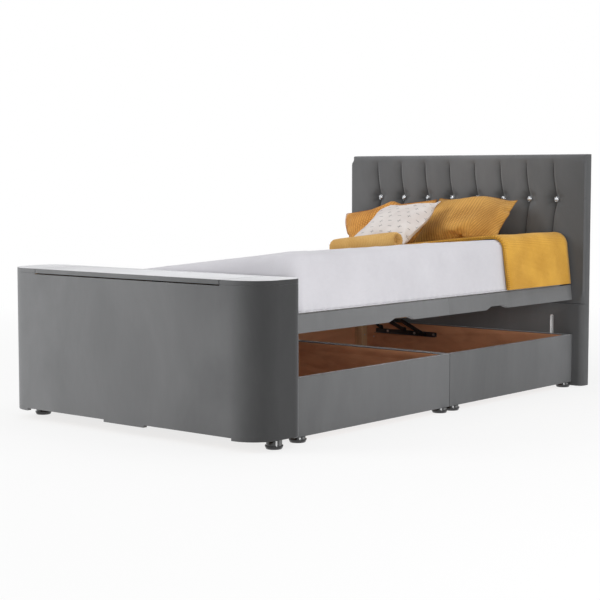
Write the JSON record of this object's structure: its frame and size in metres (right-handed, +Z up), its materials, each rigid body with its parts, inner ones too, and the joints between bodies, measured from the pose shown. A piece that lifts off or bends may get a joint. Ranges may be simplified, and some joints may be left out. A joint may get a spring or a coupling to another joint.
{
  "type": "television bed",
  "caption": "Upholstered bed with a side-lift storage base, a buttoned headboard and a foot panel whose lid rises on a screen lift.",
  "frame": {"origin": "middle of the whole length and width, on the floor under the glides", "axes": "+Z up, +Y toward the headboard, +X toward the side that lifts"},
  "size_m": [1.295, 2.2398, 1.027],
  "materials": {
    "velvet": "short pile velvet, mid grey",
    "lid_velvet": "short pile velvet, mid grey, lit from above",
    "wall_board": "brown faced chipboard, matt",
    "timber": "planed softwood",
    "plywood": "plywood and bent board",
    "black_steel": "satin black powder coat",
    "zinc": "zinc plated",
    "rod_steel": "polished rod",
    "tube_steel": "grey painted tube",
    "chrome": "polished",
    "black_plastic": "gloss black",
    "case_plastic": "matt black",
    "ticking": "woven mattress ticking",
    "white_cotton": "plain white cotton",
    "mustard_knit": "chunky mustard throw",
    "mustard_weave": "textured mustard weave",
    "print_cotton": "off-white cotton with a pale grey print",
    "back_cloth": "thin black backing cloth",
    "crystal": "cut glass"
  },
  "bodies": {
    "base": {"base_side_boards": "wall_board", "base_end_boards": "wall_board", "base_floor_panels": "wall_board", "corner_battens": "timber", "foot_half_cover": "velvet", "head_half_cover": "velvet", "joining_bolts": "case_plastic", "glide_domes": "black_plastic", "glide_rims": "chrome", "base_rails": "black_steel", "rail_bolts": "zinc", "base_pins": "zinc", "headboard_panel": "plywood", "lower_padding": "velvet", "channel_padding": "velvet", "headboard_back_cloth": "back_cloth", "button_cups": "chrome", "button_crystals": "crystal", "headboard_bolts": "zinc", "headboard_pads": "case_plastic", "panel_front_board": "plywood", "panel_rear_board": "plywood", "panel_end_skins": "plywood", "panel_formers": "plywood", "panel_floor": "plywood", "panel_dividers": "plywood", "panel_cover": "velvet", "panel_top_board": "plywood", "panel_top_cover": "lid_velvet", "panel_bolts": "zinc", "lift_foot": "black_steel", "lift_outer_tube": "tube_steel", "lift_motor": "case_plastic", "control_box": "case_plastic"},
    "main_arm": {"main_arms": "black_steel"},
    "platform": {"platform_side_rails": "plywood", "platform_end_rails": "plywood", "platform_slats": "timber", "platform_decks": "plywood", "foot_deck_cover": "velvet", "head_deck_cover": "velvet", "deck_bolts": "zinc", "platform_brackets": "black_steel", "platform_pins": "zinc", "mattress": "ticking", "fitted_sheet": "white_cotton", "throw": "mustard_knit", "roll_cushion": "mustard_weave", "far_cushion": "mustard_weave", "patterned_cushion": "print_cotton", "near_cushion": "mustard_weave"},
    "guide_arm": {"guide_arms": "black_steel"},
    "strut_tube": {"strut_tubes": "black_steel"},
    "strut_rod": {"strut_rods": "rod_steel"},
    "lift_middle": {"lift_middle_tube": "tube_steel"},
    "lift_inner": {"lift_inner_tube": "tube_steel", "lift_carriage": "black_steel", "screen_plate": "black_steel", "lid_board": "plywood", "lid_cover": "lid_velvet"}
  },
  "joints": [
    {"name": "main_arm_swing", "type": "hinge", "parent": "base", "child": "main_arm", "pos_m": [-0.307, 0.0924, 0.196], "axis": [0, 1, 0], "range_deg": [-6.33, 19]},
    {"name": "platform_tilt", "type": "hinge", "parent": "main_arm", "child": "platform", "pos_m": [-0.49643, 0.0924, 0.27359], "axis": [0, -1, 0], "range_deg": [-13.34, 40.01]},
    {"name": "guide_arm_swing", "type": "hinge", "parent": "base", "child": "guide_arm", "pos_m": [-0.445, 0.0924, 0.198], "axis": [0, 1, 0], "range_deg": [-8.78, 26.34]},
    {"name": "strut_tube_swing", "type": "hinge", "parent": "base", "child": "strut_tube", "pos_m": [-0.184, 0.0924, 0.1822], "axis": [0, 1, 0], "range_deg": [-5.57, 16.71]},
    {"name": "strut_rod_slide", "type": "slide", "parent": "strut_tube", "child": "strut_rod", "axis": [-0.9101, 0, 0.4145], "range_m": [-0.00717, 0.02148]},
    {"name": "screen_lift_lower", "type": "slide", "parent": "base", "child": "lift_middle", "axis": [0, 0, 1], "range_m": [0, 0.24]},
    {"name": "screen_lift_upper", "type": "slide", "parent": "lift_middle", "child": "lift_inner", "axis": [0, 0, 1], "range_m": [0, 0.24]}
  ],
  "couplings": [
    {"joint": "platform_tilt", "follows": "main_arm_swing", "ratio": 2.105},
    {"joint": "guide_arm_swing", "follows": "main_arm_swing", "ratio": 1.386},
    {"joint": "strut_tube_swing", "follows": "main_arm_swing", "ratio": 0.879},
    {"joint": "strut_rod_slide", "follows": "main_arm_swing", "m_per_rad": 0.064725},
    {"joint": "screen_lift_upper", "follows": "screen_lift_lower", "ratio": 1}
  ]
}
